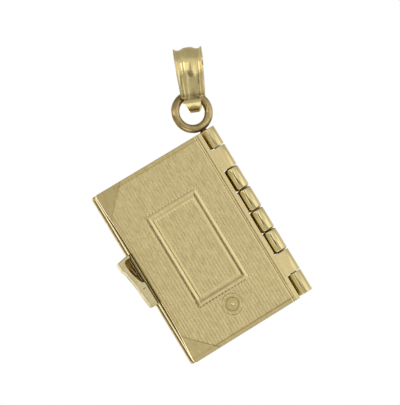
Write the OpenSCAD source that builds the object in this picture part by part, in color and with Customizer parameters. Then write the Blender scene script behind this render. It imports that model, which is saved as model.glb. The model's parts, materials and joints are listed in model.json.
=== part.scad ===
// Bible charm: a small gold book of four hinged leaves that hangs from a fluted bail.
// The row frame has +Z up, the visible back cover faces -Y, and the origin is the
// chain seat, the inside top of the bail. The book has a frame of its own on the
// hinge axis: x runs from the fore-edge to the spine, z runs up the spine from the
// top of the covers, and y runs through the leaves, from the back cover to the front.

/* [Book] */
// Length of the covers along the spine
book_h = 20; // [19.5:0.1:22]
// Distance from the fore-edge to the hinge axis
book_w = 14.37; // [13.8:0.01:16]
// Distance from the middle of the book to the face of a cover
cover_face = 0.8; // [0.79:0.01:0.81]
// Thickness of a cover
cover_t = 0.37; // [0.34:0.01:0.38]
// Thickness of a page
page_t = 0.28; // [0.2:0.01:0.28]
// Gap between neighbouring leaves on the front cover's side
page_gap = 0.07; // [0.05:0.01:0.1]
// How far the pages stay back from the edges of the covers
page_inset = 0.12; // [0.05:0.01:0.5]
// Radius of the corners at the fore-edge
corner_r = 0.3; // [0.1:0.05:0.8]
// How far the back cover's fore-edge is hollowed at its middle
edge_cut = 0.42; // [0.05:0.01:0.5]

/* [Hinge] */
// Outer radius of a knuckle
knuckle_r = 0.82; // [0.82:0.01:0.84]
// Radius of the hinge pin
pin_r = 0.36; // [0.25:0.01:0.36]
// Radial clearance of the pin in the knuckles
pin_play = 0.04; // [0.02:0.01:0.05]
// Length of the top knuckle with its gap
first_knuckle = 2.2; // [2:0.1:2.5]
// Gap between two knuckles
knuckle_gap = 0.1; // [0.05:0.01:0.2]
// Chamfer at the ends of a knuckle
knuckle_chamfer = 0.07; // [0.02:0.01:0.15]
// Distance from the hinge axis to the spine edge of a leaf
spine_edge = 0.95; // [0.89:0.01:1]

/* [Cover relief] */
// Legs of the smooth triangular corner pieces
corner_leg = 3.2; // [2:0.1:4]
// Distance from the fore-edge to the raised frame
frame_from_edge = 3.6; // [3.3:0.1:4.2]
// Distance from the top of the cover to the raised frame
frame_from_top = 4.58; // [4:0.01:4.8]
// Width of the raised frame
frame_w = 6.16; // [5:0.01:6.3]
// Height of the raised frame
frame_h = 10.6; // [9:0.1:10.6]
// Height of the frame's bead above the cover
bead_rise = 0.1; // [0.05:0.01:0.15]
// Height of the other raised lines above the cover
line_rise = 0.05; // [0.03:0.01:0.08]
// Depth of the engraved lines
line_depth = 0.05; // [0.02:0.01:0.1]
// Distance from the top of the cover to the round ornament
ornament_from_top = 16.84; // [16.8:0.01:17.2]

/* [Clasp] */
// Distance from the top of the cover to the clasp
clasp_top = 6.85; // [6:0.05:8]
// Length of the clasp along the fore-edge
clasp_h = 6; // [5:0.1:7]
// Reach of the clasp beyond the fore-edge at its top
clasp_reach_top = 1.45; // [1.3:0.01:1.6]
// Reach of the clasp beyond the fore-edge at its foot
clasp_reach_foot = 0.74; // [0.6:0.01:0.8]
// Thickness of the clasp's strap beside its slot
strap_t = 0.4; // [0.3:0.01:0.6]
// Height of the strap's bar above the slot
strap_bar = 0.38; // [0.3:0.01:0.6]

/* [Ring and bail] */
// Radius of the ring to the middle of its wire
ring_r = 1.8; // [1.7:0.01:1.85]
// Radius of the ring's wire
wire_r = 0.44; // [0.38:0.01:0.44]
// Distance from the hinge axis to the middle of the ring, toward the fore-edge
ring_side = 0.37; // [0:0.01:0.4]
// Height of the middle of the ring above the covers
ring_rise = 2.35; // [2.3:0.01:2.45]
// Inner radius of the bail at the ring
bail_low_r = 1.1; // [1.03:0.01:1.15]
// Inner radius of the bail at the chain seat
bail_top_r = 1.45; // [1.3:0.01:1.5]
// Distance between the middles of the bail's top and lower arcs
bail_rise = 3.1; // [3:0.05:3.6]
// Thickness of the bail under its rims
bail_t = 0.45; // [0.4:0.01:0.6]
// Width of the bail at the top
bail_top_w = 2.98; // [2.6:0.01:3.4]
// Width of the bail at its shoulders
bail_low_w = 2.48; // [2.2:0.01:2.5]
// Width of the tail below the shoulders
tail_w = 1.8; // [1.4:0.01:1.84]
// Width of the tail at its tip
tip_w = 0.7; // [0.6:0.01:1.3]
// Extra length of the tail below the ring
tail_drop = 0.31; // [0.25:0.01:0.8]

/* [Pose] */
// Turn of the hanging book from upright, in degrees
book_turn = 32.4; // [25:0.1:38]
// Lean of the bail from upright, in degrees
bail_lean = 7; // [0:0.1:10]
// Turn of the bail about its own axis, toward the fore-edge, in degrees
bail_twist = 18; // [0:0.5:20]
// Sideways offset of the bail on the ring
bail_shift = 0.08; // [0:0.01:0.12]

/* [Hidden] */
$fn = 64;
gold = [0.86, 0.76, 0.5];
pale_gold = [0.9, 0.82, 0.58];
deep_gold = [0.78, 0.67, 0.4];
// Depth by which soldered pieces run into each other
bury = 0.04;
// How far a cutting shape reaches past what it cuts
over = 1;
// How far a bridge runs into its plate
bridge_root = 0.1;
// Clearance of the pages' spine edges behind the covers'
page_back = 0.02;
bore_r = pin_r + pin_play;
inner_face = cover_face - cover_t;
page_edge = spine_edge + page_back;
// Low y faces of the leaves' plates
page_1_y = inner_face - page_gap - page_t;
page_2_y = page_1_y - page_gap - page_t;
// Knuckles 1 to 8 from the top: 1 and 8 are the front cover's, 2 and 7 the back cover's
knuckle_count = 8;
knuckle_pitch = (book_h - first_knuckle) / (knuckle_count - 1);
pin_cap = 0.4;
pin_inset = 0.1;
function knuckle_top(k) = k == 1 ? 0 : first_knuckle + (k - 2) * knuckle_pitch;
function knuckle_len(k) = (k == 1 ? first_knuckle : knuckle_pitch) - knuckle_gap;
edge_arc_sides = 1200;
// Raised frame: inset and width of each band, from the outside in
bead_band = [0.12, 0.24];
inner_band = [0.44, 0.09];
frame_groove = [0, 0.12];
spine_line_x = -1.6;
spine_line_w = 0.12;
spine_line_h = 18.2;
// Round ornament: middle radius and half width of each ring
ornament_rings = [[0.42, 0.06], [0.7, 0.06], [1.13, 0.04]];
ornament_dot_r = 0.2;
ornament_side = 0.12;
// Clasp: clearance to the leaves, its two faces in y, and the height of its lug
clasp_gap = 0.1;
clasp_y = [-0.4, 0.74];
lug_h = 3;
catch_from_top = 1.3;
catch_h = 1.15;
solder_r = [0.62, 0.4];
// Places of the chain seat, the ring and the book
seat_z = bail_rise + bail_top_r;
wire_x = seat_z * sin(bail_lean) - bail_shift;
wire_z = -seat_z * cos(bail_lean);
book_x = wire_x + ring_side * cos(book_turn) + ring_rise * sin(book_turn);
book_z = wire_z - ring_r + ring_side * sin(book_turn) - ring_rise * cos(book_turn);

// From the book's frame to the row's
module book_place() {
    translate([book_x, 0, book_z]) rotate([0, -book_turn, 0]) children();
}

// A flat shape drawn in x and z, filled in y from y_low over the thickness t
module slab(y_low, t) {
    translate([0, y_low + t, 0]) rotate([90, 0, 0]) linear_extrude(t) children();
}

// Outline of a leaf with two round corners at the fore-edge
module leaf_outline(edge, inset) {
    fore = -book_w + inset;
    low = -book_h + inset;
    leaf_h = book_h - 2 * inset;
    translate([fore + corner_r, low]) square([-edge - fore - corner_r, leaf_h]);
    translate([fore, low + corner_r]) square([2 * corner_r, leaf_h - 2 * corner_r]);
    for (z = [low + corner_r, low + leaf_h - corner_r])
        translate([fore + corner_r, z]) circle(corner_r);
}

// One hinge knuckle: a tube with chamfered ends, closed at the top where it is blind
module knuckle(k, blind = false) {
    c = knuckle_chamfer;
    l = knuckle_len(k);
    translate([0, 0, -knuckle_top(k) - l]) rotate_extrude() {
        polygon([[bore_r, 0], [knuckle_r - c, 0], [knuckle_r, c],
            [knuckle_r, l - c], [knuckle_r - c, l], [bore_r, l]]);
        if (blind) translate([0, l - pin_cap]) square([bore_r + bury, pin_cap]);
    }
}

// The bridge from a plate to its knuckle, as far as x_end
module bridge(k, y_low, t, x_end) {
    l = knuckle_len(k) - 2 * knuckle_chamfer;
    x_start = -spine_edge - bridge_root;
    slab(y_low, t)
        translate([x_start, -knuckle_top(k) - knuckle_chamfer - l]) square([x_end - x_start, l]);
}

// One rectangular band of the frame on a cover: [inset, width]
module frame_band(band) {
    outer = band[0];
    inner = band[0] + band[1];
    translate([frame_from_edge - book_w, -frame_from_top - frame_h]) difference() {
        translate([outer, outer]) square([frame_w - 2 * outer, frame_h - 2 * outer]);
        translate([inner, inner]) square([frame_w - 2 * inner, frame_h - 2 * inner]);
    }
}

// Smooth triangular pieces in the two fore-edge corners
module corner_pieces() {
    intersection() {
        leaf_outline(spine_edge, 0);
        translate([-book_w, 0]) {
            polygon([[0, 0], [corner_leg, 0], [0, -corner_leg]]);
            polygon([[0, -book_h], [corner_leg, -book_h], [0, corner_leg - book_h]]);
        }
    }
}

// Round ornament of a dot in rings
module ornament() {
    x = frame_from_edge - book_w + frame_w / 2 + ornament_side;
    translate([x, -ornament_from_top]) {
        circle(ornament_dot_r);
        for (ring = ornament_rings) difference() {
            circle(ring[0] + ring[1]);
            circle(ring[0] - ring[1]);
        }
    }
}

// A cover with its relief, drawn with its face toward -y; cut is the depth of the
// shallow arc that hollows its fore-edge
module cover_plate(cut) {
    face = -cover_face;
    half_h = book_h / 2 - corner_r;
    arc_r = (half_h * half_h + cut * cut) / (2 * max(cut, 0.01));
    difference() {
        union() {
            slab(face, cover_t) leaf_outline(spine_edge, 0);
            slab(face - line_rise, line_rise + bury) {
                corner_pieces();
                frame_band(inner_band);
                ornament();
            }
            slab(face - bead_rise, bead_rise + bury) frame_band(bead_band);
        }
        slab(face - over, over + line_depth) {
            frame_band(frame_groove);
            translate([spine_line_x, -spine_line_h]) square([spine_line_w, spine_line_h + over]);
        }
        if (cut > 0) slab(face - over, cover_t + 2 * over)
            translate([cut - book_w - arc_r, -book_h / 2]) circle(arc_r, $fn = edge_arc_sides);
    }
}

// A leaf's knuckles and their bridges
module leaf_hinge(knuckles, y_low, t, x_end) {
    for (k = knuckles) {
        knuckle(k, blind = k == 1);
        difference() {
            bridge(k, y_low, t, x_end);
            translate([0, 0, -book_h - over]) cylinder(r = bore_r, h = book_h + 2 * over);
        }
    }
}

// The ring, soldered on the top knuckle
module ring() {
    translate([-ring_side, 0, ring_rise]) rotate([90, 0, 0])
        rotate_extrude() translate([ring_r, 0]) circle(wire_r);
    solder_h = ring_rise - ring_r;
    translate([-ring_side, 0, -bury])
        cylinder(r1 = solder_r[0] - bury, r2 = solder_r[1], h = solder_h);
}

// Reach of the clasp beyond the fore-edge at the distance d below its top
function clasp_reach(d) =
    clasp_reach_top + (clasp_reach_foot - clasp_reach_top) * d / clasp_h;

// The clasp, soldered on the front cover's fore-edge: a lug, and the sprung strap
// that stands off from it and ends in a hook
module clasp() {
    arm_h = clasp_h - lug_h;
    clasp_depth = clasp_y[1] - clasp_y[0];
    translate([-book_w, 0, -clasp_top]) {
        slab(clasp_y[0], clasp_depth) {
            polygon([[-clasp_reach(arm_h), -arm_h], [-clasp_gap, -arm_h],
                [-clasp_gap, -clasp_h], [-clasp_reach(clasp_h), -clasp_h]]);
            polygon([[-clasp_reach(0), 0], [-clasp_reach(0) + strap_t, 0],
                [-clasp_reach(arm_h) + strap_t, -arm_h - bury], [-clasp_reach(arm_h), -arm_h - bury]]);
            polygon([[-clasp_reach(0), 0], [-clasp_gap, 0], [-clasp_gap, -strap_bar],
                [-clasp_reach(strap_bar), -strap_bar]]);
        }
        foot_y = inner_face + bury;
        slab(foot_y, clasp_y[1] - foot_y) {
            translate([-clasp_gap - bury, -clasp_h]) square([clasp_gap + 3 * bury, lug_h]);
            translate([-clasp_gap, -catch_from_top - catch_h])
                square([clasp_gap + 2 * bury, catch_h]);
        }
    }
}

// Flutes across the bail, a broad rib between two hollows and thin rims: place as a
// share of the half width, and height over the rim
half_flutes = [[0.14, 0.06], [0.3, 0.01], [0.45, -0.09], [0.58, -0.155], [0.72, -0.165],
    [0.86, -0.08], [0.94, 0], [1, 0]];
flutes = concat([for (i = [len(half_flutes) - 1 : -1 : 0]) [-half_flutes[i][0], half_flutes[i][1]]],
    [[0, 0.07]], half_flutes);
// Angles from straight down at which the bail's lower arc has a section
tail_turns = [71, 64, 56, 48, 40, 32, 24, 16, 8, 0];
shoulder_turns = [71, 64];
flute_end_turn = 48;
tail_turn = 58;
tail_sharpness = 1.3;
tip_roundness = 0.55;
top_steps = 30;
leg_steps = 7;
// Each leg bulges on an arc that meets the top and lower arcs without a corner
leg_r = (bail_rise * bail_rise + bail_top_r * bail_top_r - bail_low_r * bail_low_r)
    / (2 * (bail_top_r - bail_low_r));
leg_turn = asin(bail_rise / (leg_r - bail_low_r));
function share(x, from, to) = min(1, max(0, (x - from) / (to - from)));
function mix(a, b, s) = a + (b - a) * s;
// Stations round the bail's inner face, each [y, z, angle of its normal]
function arc_station(y, z, r, a) = [y + r * cos(a), z + r * sin(a), a];
leg_y = leg_r - bail_top_r;
leg_turns = [for (i = [1 : leg_steps]) i * leg_turn / (leg_steps + 1)];
front_leg = [for (a = leg_turns) arc_station(leg_y, bail_rise, leg_r, 180 + a)];
back_leg = [for (i = [leg_steps - 1 : -1 : 0])
    arc_station(-leg_y, bail_rise, leg_r, 360 - leg_turns[i])];
top_arc = [for (i = [0 : top_steps])
    arc_station(0, bail_rise, bail_top_r, i * 180 / top_steps)];
tail_count = len(tail_turns);
low_turns = concat([90 - leg_turn], tail_turns,
    [for (i = [1 : tail_count - 1]) -tail_turns[tail_count - 1 - i]], [leg_turn - 90]);
low_arc = [for (turn = low_turns) arc_station(0, 0, bail_low_r, 270 - turn)];
stations = concat(top_arc, front_leg, low_arc, back_leg);
function bail_half_w(s) =
    let (turn = abs(s[2] - 270))
    s[1] >= 0 || turn > shoulder_turns[0]
        ? mix(bail_low_w, bail_top_w, share(s[1], 0, seat_z)) / 2
        : turn > shoulder_turns[1]
            ? mix(tail_w, bail_low_w, share(turn, shoulder_turns[1], shoulder_turns[0])) / 2
            : mix(tip_w, tail_w, pow(share(turn, 0, shoulder_turns[1]), tip_roundness)) / 2;
function bail_thick(s) =
    bail_t + tail_drop * pow(1 - share(abs(s[2] - 270), 0, tail_turn), tail_sharpness);
function flute_strength(s) = share(abs(s[2] - 270), flute_end_turn, shoulder_turns[0]);
// The points of one section: the two inner ones, then the fluted face
function section(s) =
    let (w = bail_half_w(s), t = bail_thick(s), f = flute_strength(s))
    concat([[w, s[0], s[1]], [-w, s[0], s[1]]],
        [for (p = flutes) let (h = t + f * p[1])
            [w * p[0], s[0] + h * cos(s[2]), s[1] + h * sin(s[2])]]);

module fluted_loop() {
    n = len(stations);
    m = len(flutes) + 2;
    points = [for (s = stations) each section(s)];
    faces = [for (i = [0 : n - 1], k = [0 : m - 1])
        let (j = (i + 1) % n, l = (k + 1) % m)
        each [[i * m + k, j * m + l, j * m + k], [i * m + k, i * m + l, j * m + l]]];
    polyhedron(points, faces);
}

module bail() {
    color(pale_gold) rotate([0, -bail_lean, 0]) rotate([0, 0, -bail_twist])
        translate([0, 0, -seat_z]) fluted_loop();
}

module front_cover() {
    color(gold) book_place() {
        mirror([0, 1, 0]) cover_plate(0);
        leaf_hinge([1, 8], inner_face, cover_t, 0);
        ring();
        clasp();
    }
}

module hinge_pin() {
    color(deep_gold) book_place() translate([0, 0, pin_inset - book_h])
        cylinder(r = pin_r, h = book_h - 2 * pin_inset - pin_cap);
}

// A plain page on its two knuckles
module page(y_low, knuckles) {
    slab(y_low, page_t) leaf_outline(page_edge, page_inset);
    leaf_hinge(knuckles, y_low, page_t, -bore_r - pin_play);
}

module page_1() {
    color(pale_gold) book_place() page(page_1_y, [3, 5]);
}

module page_2() {
    color(pale_gold) book_place() page(page_2_y, [4, 6]);
}

module back_cover() {
    color(gold) book_place() {
        cover_plate(edge_cut);
        leaf_hinge([2, 7], -cover_face, cover_t, 0);
    }
}

bail();
front_cover();
hinge_pin();
page_1();
page_2();
back_cover();
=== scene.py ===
import json
import math

import bmesh
import bpy
from mathutils import Matrix, Vector


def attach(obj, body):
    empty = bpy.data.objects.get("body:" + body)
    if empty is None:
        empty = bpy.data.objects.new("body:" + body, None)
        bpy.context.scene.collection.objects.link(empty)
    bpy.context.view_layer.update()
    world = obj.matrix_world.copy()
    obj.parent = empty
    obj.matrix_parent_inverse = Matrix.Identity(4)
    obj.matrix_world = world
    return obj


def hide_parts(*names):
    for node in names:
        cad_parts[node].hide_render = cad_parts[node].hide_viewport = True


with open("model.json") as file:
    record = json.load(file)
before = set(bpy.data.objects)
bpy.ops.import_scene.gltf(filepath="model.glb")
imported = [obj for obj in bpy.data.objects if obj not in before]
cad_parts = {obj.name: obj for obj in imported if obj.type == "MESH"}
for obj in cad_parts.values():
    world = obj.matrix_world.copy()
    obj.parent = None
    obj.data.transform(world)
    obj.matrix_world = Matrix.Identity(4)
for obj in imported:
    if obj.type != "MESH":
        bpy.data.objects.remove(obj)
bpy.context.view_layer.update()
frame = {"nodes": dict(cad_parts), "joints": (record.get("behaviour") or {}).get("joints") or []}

joints = {joint["name"]: joint for joint in frame["joints"]}
print("frame loaded:", len(frame["nodes"]), "nodes")

# Shapes are modelled in millimetres and placed in the frame, which is in metres
mm = 0.001
weldDistance = 0.0005

# The book's own frame lies on the hinge axis: x runs from the fore-edge to the spine,
# z runs up the spine from the top of the covers, and y runs through the leaves
hinge = joints["back_cover_hinge"]
spineUp = Vector(hinge["axis"]).normalized()
bookTurn = math.atan2(-spineUp.x, spineUp.z)
bookPlace = (Matrix.Translation(hinge["pos_m"])
             @ Matrix.Rotation(-bookTurn, 4, "Y") @ Matrix.Scale(mm, 4))

# The bail's own frame has its origin in the middle of the wire that it hangs on
bailPose = {"seatHeight": 4.55, "lean": math.radians(7), "twist": math.radians(18)}
bailPlace = (Matrix.Scale(mm, 4) @ Matrix.Rotation(-bailPose["lean"], 4, "Y")
             @ Matrix.Rotation(-bailPose["twist"], 4, "Z")
             @ Matrix.Translation((0, 0, -bailPose["seatHeight"])))

book = {
    "height": 20.0, "foreEdge": -14.37, "spineEdge": -1.02,
    "coverFace": 0.8, "coverThickness": 0.37,
    "pageThickness": 0.28, "pageInset": 0.12, "pageBottoms": (0.08, -0.27),
    "cornerRadius": 0.3, "spineCornerRadius": 0.12,
}


# Small helpers

def share(value, start, end):
    return min(1.0, max(0.0, (value - start) / (end - start)))


def smoothShare(value, start, end):
    t = share(value, start, end)
    return t * t * (3 - 2 * t)


def mix(a, b, t):
    return a + (b - a) * t


def evenPlaces(start, end, count):
    return [mix(start, end, i / count) for i in range(count + 1)]


def mergedPlaces(groups, closest):
    # one rising list of grid places; where two groups meet, the earlier group's place stays
    kept = []
    for group in groups:
        kept += [p for p in group if all(abs(p - k) > closest for k in kept)]
    return sorted(kept)


def ridge(value, start, end):
    # height of a moulding with two even slopes and a soft crest between two places
    t = abs(2 * value - start - end) / (end - start)
    return 1 - t ** 1.3 if t < 1 else 0.0


def geomVerts(geom):
    return [g for g in geom if isinstance(g, bmesh.types.BMVert)]


def geomEdges(geom):
    return [g for g in geom if isinstance(g, bmesh.types.BMEdge)]


def newVerts(bm, old):
    return [v for v in bm.verts if v not in old]


def facesOf(verts):
    return {f for v in verts for f in v.link_faces}


def chainOfEdges(bm, points, closed=False):
    verts = [bm.verts.new(p) for p in points]
    pairs = list(zip(verts, verts[1:])) + ([(verts[-1], verts[0])] if closed else [])
    return verts, [bm.edges.new(pair) for pair in pairs]


def extrudeEdges(bm, edges):
    # pulls a chain of edges out into faces, and gives the new chain's vertices and edges
    made = bmesh.ops.extrude_edge_only(bm, edges=edges)["geom"]
    fresh = set(geomVerts(made))
    return fresh, [e for e in geomEdges(made) if all(v in fresh for v in e.verts)]


def cutThrough(bm, point, normal):
    # adds edges where a plane crosses the faces
    bmesh.ops.bisect_plane(bm, geom=bm.verts[:] + bm.edges[:] + bm.faces[:], dist=0.0001,
                           plane_co=point, plane_no=normal)


def setMaterial(faces, index):
    for f in faces:
        f.material_index = index


def roundEdges(bm, edges, offset, segments):
    bmesh.ops.bevel(bm, geom=edges, offset=offset, segments=segments, profile=0.5,
                    affect="EDGES", material=-1, clamp_overlap=True)


def addBox(bm, low, high):
    made = bmesh.ops.create_cube(bm, size=1)["verts"]
    bmesh.ops.scale(bm, vec=high - low, verts=made)
    bmesh.ops.translate(bm, vec=(high + low) / 2, verts=made)


def turnedSolid(bm, outline, steps):
    # spins an outline, given as (radius, height), into a solid; off the axis it is closed first
    old = set(bm.verts)
    _, edges = chainOfEdges(bm, [(r, 0, h) for r, h in outline], closed=outline[0][0] > 0)
    bmesh.ops.spin(bm, geom=newVerts(bm, old) + edges, cent=(0, 0, 0), axis=(0, 0, 1),
                   dvec=(0, 0, 0), angle=math.tau, steps=steps, use_merge=True, use_duplicate=False)
    bmesh.ops.remove_doubles(bm, verts=newVerts(bm, old), dist=weldDistance)
    return newVerts(bm, old)


def makeObject(name, bm, materials):
    mesh = bpy.data.meshes.new(name)
    bm.to_mesh(mesh)
    bm.free()
    for material in materials:
        mesh.materials.append(material)
    made = bpy.data.objects.new(name, mesh)
    bpy.context.scene.collection.objects.link(made)
    return made


def finishPiece(name, bm, place, body, nodes, materials, shadeAt=None):
    # closes a bmesh into a piece at its place in the frame, and hangs it on its body
    bmesh.ops.recalc_face_normals(bm, faces=bm.faces)
    # each vertex stores the painted shade that the given function returns
    if shadeAt:
        layer = bm.verts.layers.float.new("paintedShade")
        for v in bm.verts:
            v[layer] = shadeAt(v.co)
    bmesh.ops.transform(bm, matrix=place, verts=bm.verts)
    piece = makeObject(name, bm, materials)
    piece.data.shade_smooth()
    piece.data.set_sharp_from_angle(angle=math.radians(32))
    # flat and drawn faces keep their own normals beside the small rounded edges
    weighted = piece.modifiers.new("weightedNormals", "WEIGHTED_NORMAL")
    weighted.keep_sharp = True
    weighted.weight = 90
    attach(piece, body)
    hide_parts(*nodes)
    return piece


# Shader groups

def addNode(tree, kind, values=None, **settings):
    node = tree.nodes.new(kind)
    for key, value in settings.items():
        setattr(node, key, value)
    for key, value in (values or {}).items():
        node.inputs[key].default_value = value
    return node


def wire(tree, *links):
    # each link runs from a node's output to a node's input
    for source, output, target, entry in links:
        tree.links.new(source.outputs[output], target.inputs[entry])


def startGroup(name, numbers, outputs, vector=True):
    # a node group with its number inputs, each with value and limits, and its number outputs
    tree = bpy.data.node_groups.new(name, "ShaderNodeTree")
    if vector:
        tree.interface.new_socket(name="Vector", in_out="INPUT", socket_type="NodeSocketVector")
    for label, value, low, high in numbers:
        socket = tree.interface.new_socket(name=label, in_out="INPUT",
                                           socket_type="NodeSocketFloat")
        socket.default_value, socket.min_value, socket.max_value = value, low, high
    for label in outputs:
        tree.interface.new_socket(name=label, in_out="OUTPUT", socket_type="NodeSocketFloat")
    return tree, addNode(tree, "NodeGroupInput"), addNode(tree, "NodeGroupOutput")


def makeFineLines():
    # straight satin lines left by a lapping wheel, along the local z axis, in millimetres
    tree, inside, outside = startGroup(
        "fineLines", [("Lines per mm", 14.0, 0.1, 100.0), ("Length", 30.0, 1.0, 500.0)],
        ["Height", "Streaks"])
    squeeze = addNode(tree, "ShaderNodeVectorMath", operation="MULTIPLY")
    squeezeBy = addNode(tree, "ShaderNodeCombineXYZ")
    lengthShare = addNode(tree, "ShaderNodeMath", operation="DIVIDE")
    fine = addNode(tree, "ShaderNodeTexNoise", {"Scale": 1.0, "Detail": 3.0, "Roughness": 0.6})
    broad = addNode(tree, "ShaderNodeTexNoise", {"Scale": 0.42, "Detail": 5.0, "Roughness": 0.75})
    wire(tree,
         (inside, "Lines per mm", lengthShare, 0), (inside, "Length", lengthShare, 1),
         (inside, "Lines per mm", squeezeBy, "X"), (inside, "Lines per mm", squeezeBy, "Y"),
         (lengthShare, 0, squeezeBy, "Z"), (inside, "Vector", squeeze, 0),
         (squeezeBy, 0, squeeze, 1), (squeeze, 0, fine, "Vector"), (squeeze, 0, broad, "Vector"),
         (fine, "Fac", outside, "Height"), (broad, "Fac", outside, "Streaks"))
    return tree


def makeHandling():
    # hairline scratches in all directions and soft cloudy spots from wear and polishing cloths
    tree, inside, outside = startGroup(
        "handlingMarks", [("Scratch Scale", 1.2, 0.01, 50.0), ("Cloud Scale", 0.9, 0.01, 50.0)],
        ["Scratches", "Clouds"])
    scratches = None
    for turn, stretch in ((25, 14.0), (-48, 18.0), (78, 22.0)):
        turned = addNode(tree, "ShaderNodeMapping", {
            "Rotation": (math.radians(turn * 0.6), math.radians(turn), 0.4),
            "Scale": (stretch, 1.0, 0.8)})
        lines = addNode(tree, "ShaderNodeTexNoise", {"Detail": 1.0})
        thin = addNode(tree, "ShaderNodeMapRange", {"From Min": 0.69, "From Max": 0.76})
        wire(tree,
             (inside, "Vector", turned, "Vector"), (turned, 0, lines, "Vector"),
             (inside, "Scratch Scale", lines, "Scale"), (lines, "Fac", thin, "Value"))
        if scratches:
            join = addNode(tree, "ShaderNodeMath", operation="MAXIMUM")
            wire(tree, (scratches, 0, join, 0), (thin, 0, join, 1))
        scratches = join if scratches else thin
    clouds = addNode(tree, "ShaderNodeTexNoise", {"Detail": 4.0, "Roughness": 0.55})
    wire(tree,
         (inside, "Vector", clouds, "Vector"), (inside, "Cloud Scale", clouds, "Scale"),
         (clouds, "Fac", outside, "Clouds"), (scratches, 0, outside, "Scratches"))
    return tree


def makeRecessShade():
    # darkens grooves, corners and slots by how closed in they are: painted shade, with some brown
    # polishing residue
    tree, inside, outside = startGroup(
        "recessShadeAndResidue", [("Reach", 0.00035, 0.0, 0.01), ("Breakup", 0.5, 0.0, 1.0),
                        ("Open", 0.62, 0.0, 1.0), ("Shut", 0.12, 0.0, 1.0)],
        ["Recess Shade"], vector=False)
    hollow = addNode(tree, "ShaderNodeAmbientOcclusion", samples=8, only_local=False)
    dark = addNode(tree, "ShaderNodeMapRange")
    uneven = addNode(tree, "ShaderNodeMath", operation="MULTIPLY")
    keep = addNode(tree, "ShaderNodeMapRange", {"To Min": 0.55})
    wire(tree,
         (inside, "Reach", hollow, "Distance"), (hollow, "AO", dark, "Value"),
         (inside, "Open", dark, "From Min"), (inside, "Shut", dark, "From Max"),
         (inside, "Breakup", keep, "Value"), (dark, 0, uneven, 0), (keep, 0, uneven, 1),
         (uneven, 0, outside, "Recess Shade"))
    return tree


fineLines = makeFineLines()
handlingMarks = makeHandling()
recessShadeAndResidue = makeRecessShade()
scratchRoughness = 0.12


def makeGold(name, finish, turn):
    # one gold alloy; the finish says how rough and how lined it is, and how much painted shade it
    # takes
    material = bpy.data.materials.new(name)
    material.use_nodes = True
    tree = material.node_tree
    tree.nodes.clear()
    output = addNode(tree, "ShaderNodeOutputMaterial")
    gold = addNode(tree, "ShaderNodeBsdfPrincipled",
                   {"Metallic": 1.0, "Specular Tint": (1.0, 0.97, 0.9, 1.0)})
    coords = addNode(tree, "ShaderNodeTexCoord")
    place = addNode(tree, "ShaderNodeMapping",
                    {"Scale": (1 / mm, 1 / mm, 1 / mm), "Rotation": (0, turn, 0)})
    lines = addNode(tree, "ShaderNodeGroup",
                    {"Lines per mm": finish["linesPerMm"], "Length": finish["lineLength"]},
                    node_tree=fineLines)
    marks = addNode(tree, "ShaderNodeGroup", node_tree=handlingMarks)
    # painted shade in grooves, corners and slots, with some polishing residue
    recessShade = addNode(tree, "ShaderNodeGroup",
                    {"Reach": finish["shadeReach"], "Open": finish["shadeRange"][0],
                     "Shut": finish["shadeRange"][1]}, node_tree=recessShadeAndResidue)
    tone = addNode(tree, "ShaderNodeMix", {"A": (*finish["deepColour"], 1),
                                           "B": (*finish["colour"], 1)}, data_type="RGBA")
    toneShare = addNode(tree, "ShaderNodeMapRange", {"From Min": 0.36, "From Max": 0.62})
    shadedTone = addNode(tree, "ShaderNodeMix", {"B": (*finish["shadeColour"], 1)}, data_type="RGBA")
    recessShadeShare = addNode(tree, "ShaderNodeMath", {1: finish["recessShade"]}, operation="MULTIPLY")
    # painted shade stored on the piece's vertices, broken up by the same clouds
    shadeAttribute = addNode(tree, "ShaderNodeAttribute", attribute_name="paintedShade")
    patchy = addNode(tree, "ShaderNodeMapRange",
                     {"From Min": 0.35, "From Max": 0.6, "To Min": 0.65})
    shadeAttributeShare = addNode(tree, "ShaderNodeMath", operation="MULTIPLY")
    allShade = addNode(tree, "ShaderNodeMath", operation="MAXIMUM")
    smooth, rough = finish["roughness"]
    roughClouds = addNode(tree, "ShaderNodeMapRange", {"From Min": 0.3, "From Max": 0.7,
                                                       "To Min": smooth, "To Max": rough})
    roughMarks = addNode(tree, "ShaderNodeMath", {1: scratchRoughness}, operation="MULTIPLY_ADD")
    roughLines = addNode(tree, "ShaderNodeMath", {1: finish["lineRoughness"]},
                         operation="MULTIPLY_ADD")
    lineBump = addNode(tree, "ShaderNodeBump",
                       {"Strength": finish["lineStrength"], "Distance": 0.004 * mm})
    markBump = addNode(tree, "ShaderNodeBump",
                       {"Strength": finish["markStrength"], "Distance": 0.003 * mm}, invert=True)
    waveBump = addNode(tree, "ShaderNodeBump",
                       {"Strength": 1.0, "Distance": finish["waves"] * mm})
    wire(tree,
         (coords, "Object", place, "Vector"), (place, 0, lines, "Vector"),
         (place, 0, marks, "Vector"), (marks, "Clouds", recessShade, "Breakup"),
         (lines, "Streaks", toneShare, "Value"), (toneShare, 0, tone, "Factor"),
         (tone, "Result", shadedTone, "A"), (recessShade, "Recess Shade", recessShadeShare, 0),
         (marks, "Clouds", patchy, "Value"), (shadeAttribute, "Fac", shadeAttributeShare, 0), (patchy, 0, shadeAttributeShare, 1),
         (recessShadeShare, 0, allShade, 0), (shadeAttributeShare, 0, allShade, 1),
         (allShade, 0, shadedTone, "Factor"), (shadedTone, "Result", gold, "Base Color"),
         (marks, "Clouds", roughClouds, "Value"),
         (marks, "Scratches", roughMarks, 0), (roughClouds, 0, roughMarks, 2),
         (lines, "Height", roughLines, 0), (roughMarks, 0, roughLines, 2),
         (roughLines, 0, gold, "Roughness"), (lines, "Height", lineBump, "Height"),
         (marks, "Scratches", markBump, "Height"), (lineBump, 0, markBump, "Normal"),
         (marks, "Clouds", waveBump, "Height"), (markBump, 0, waveBump, "Normal"),
         (waveBump, 0, gold, "Normal"), (gold, 0, output, "Surface"))
    return material


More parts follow.
